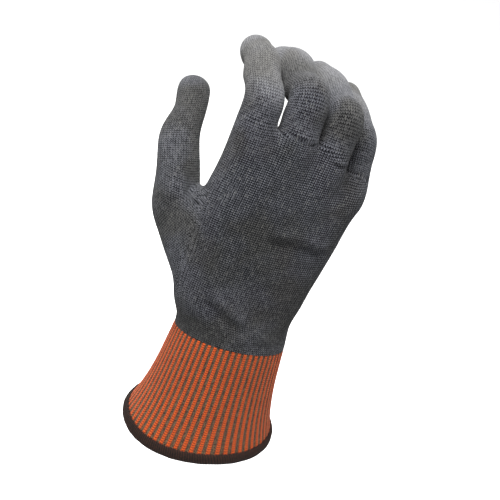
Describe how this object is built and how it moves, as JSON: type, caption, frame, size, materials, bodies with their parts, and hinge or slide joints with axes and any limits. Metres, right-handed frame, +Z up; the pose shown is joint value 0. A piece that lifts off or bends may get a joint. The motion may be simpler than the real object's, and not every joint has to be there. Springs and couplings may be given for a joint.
{
  "type": "cut resistant glove",
  "caption": "Knitted cut resistant glove for a right hand, seamless grey hand with curved fingers, flared striped rib cuff and dark overlocked hem.",
  "frame": {"origin": "centre of the cuff opening, in the plane of the hem's end face", "axes": "+Z up the forearm towards the fingers, -Y the back of the hand, +Y the palm, -X the thumb side, +X the little finger side"},
  "size_m": [0.1179, 0.128, 0.2129],
  "materials": {
    "hand_knit": "fine grey and blue-grey marled plain knit, matt with a faint fibre sheen",
    "cuff_rib_knit": "elastic rib knit, raised orange wales between recessed grey-brown ones",
    "hem_thread": "dark brown overlock thread wrapped closely round the edge",
    "elastic_yarn": "off-white covered rubber yarn, matt"
  },
  "bodies": {
    "cuff": {"cuff_rib": "cuff_rib_knit", "hem_binding": "hem_thread", "elastic_yarn_1": "elastic_yarn", "elastic_yarn_2": "elastic_yarn", "elastic_yarn_3": "elastic_yarn", "elastic_yarn_4": "elastic_yarn", "elastic_yarn_5": "elastic_yarn"},
    "hand": {"hand_tube": "hand_knit", "thumb_base": "hand_knit"},
    "index_proximal_link": {"index_proximal": "hand_knit"},
    "index_middle_link": {"index_middle": "hand_knit"},
    "index_distal_link": {"index_distal": "hand_knit"},
    "middle_proximal_link": {"middle_proximal": "hand_knit"},
    "middle_middle_link": {"middle_middle": "hand_knit"},
    "middle_distal_link": {"middle_distal": "hand_knit"},
    "ring_proximal_link": {"ring_proximal": "hand_knit"},
    "ring_middle_link": {"ring_middle": "hand_knit"},
    "ring_distal_link": {"ring_distal": "hand_knit"},
    "little_proximal_link": {"little_proximal": "hand_knit"},
    "little_middle_link": {"little_middle": "hand_knit"},
    "little_distal_link": {"little_distal": "hand_knit"},
    "thumb_proximal_link": {"thumb_proximal": "hand_knit"},
    "thumb_distal_link": {"thumb_distal": "hand_knit"}
  },
  "joints": [
    {"name": "wrist_bend", "type": "hinge", "parent": "cuff", "child": "hand", "pos_m": [0.0005, 0.001, 0.066], "axis": [-0.999, 0.0128, 0.0417], "range_deg": [-25, 25]},
    {"name": "index_mcp", "type": "hinge", "parent": "hand", "child": "index_proximal_link", "pos_m": [-0.01421, 0.02662, 0.1695], "axis": [-0.9816, 0.0364, 0.1873], "range_deg": [-13, 52]},
    {"name": "index_pip", "type": "hinge", "parent": "index_proximal_link", "child": "index_middle_link", "pos_m": [-0.01021, 0.03529, 0.18876], "axis": [-0.9816, 0.0364, 0.1873], "range_deg": [-34, 46]},
    {"name": "index_dip", "type": "hinge", "parent": "index_middle_link", "child": "index_distal_link", "pos_m": [-0.0067, 0.05812, 0.20273], "axis": [-0.9816, 0.0364, 0.1873], "range_deg": [-15.4, 20.8]},
    {"name": "middle_mcp", "type": "hinge", "parent": "hand", "child": "middle_proximal_link", "pos_m": [0.0089, 0.02277, 0.17068], "axis": [-0.9816, 0.0364, 0.1873], "range_deg": [-15, 55]},
    {"name": "middle_pip", "type": "hinge", "parent": "middle_proximal_link", "child": "middle_middle_link", "pos_m": [0.01508, 0.03735, 0.20021], "axis": [-0.9816, 0.0364, 0.1873], "range_deg": [-67, 23]},
    {"name": "middle_dip", "type": "hinge", "parent": "middle_middle_link", "child": "middle_distal_link", "pos_m": [0.01591, 0.06879, 0.19848], "axis": [-0.9816, 0.0364, 0.1873], "range_deg": [-23.6, 8.2]},
    {"name": "ring_mcp", "type": "hinge", "parent": "hand", "child": "ring_proximal_link", "pos_m": [0.03085, 0.02204, 0.16181], "axis": [-0.9799, 0.038, 0.1957], "range_deg": [-13, 57]},
    {"name": "ring_pip", "type": "hinge", "parent": "ring_proximal_link", "child": "ring_middle_link", "pos_m": [0.03716, 0.03514, 0.19087], "axis": [-0.9799, 0.038, 0.1957], "range_deg": [-66, 24]},
    {"name": "ring_dip", "type": "hinge", "parent": "ring_middle_link", "child": "ring_distal_link", "pos_m": [0.03829, 0.06462, 0.19076], "axis": [-0.9799, 0.038, 0.1957], "range_deg": [-14.7, 5.4]},
    {"name": "little_mcp", "type": "hinge", "parent": "hand", "child": "little_proximal_link", "pos_m": [0.05056, 0.02696, 0.15083], "axis": [-0.9781, 0.0397, 0.2041], "range_deg": [-32, 43]},
    {"name": "little_pip", "type": "hinge", "parent": "little_proximal_link", "child": "little_middle_link", "pos_m": [0.05541, 0.04562, 0.17044], "axis": [-0.9781, 0.0397, 0.2041], "range_deg": [-34, 56]},
    {"name": "little_dip", "type": "hinge", "parent": "little_middle_link", "child": "little_distal_link", "pos_m": [0.05727, 0.06702, 0.1752], "axis": [-0.9781, 0.0397, 0.2041], "range_deg": [-12, 19.7]},
    {"name": "thumb_mcp", "type": "hinge", "parent": "hand", "child": "thumb_proximal_link", "pos_m": [-0.03869, 0.0387, 0.12894], "axis": [0.2288, -0.7659, 0.6008], "range_deg": [-40, 10]},
    {"name": "thumb_ip", "type": "hinge", "parent": "thumb_proximal_link", "child": "thumb_distal_link", "pos_m": [-0.03908, 0.06041, 0.15676], "axis": [0.2288, -0.7659, 0.6008], "range_deg": [-50, 10]}
  ],
  "couplings": [
    {"joint": "index_dip", "follows": "index_pip", "ratio": 0.45},
    {"joint": "middle_dip", "follows": "middle_pip", "ratio": 0.35},
    {"joint": "ring_dip", "follows": "ring_pip", "ratio": 0.22},
    {"joint": "little_dip", "follows": "little_pip", "ratio": 0.35}
  ]
}
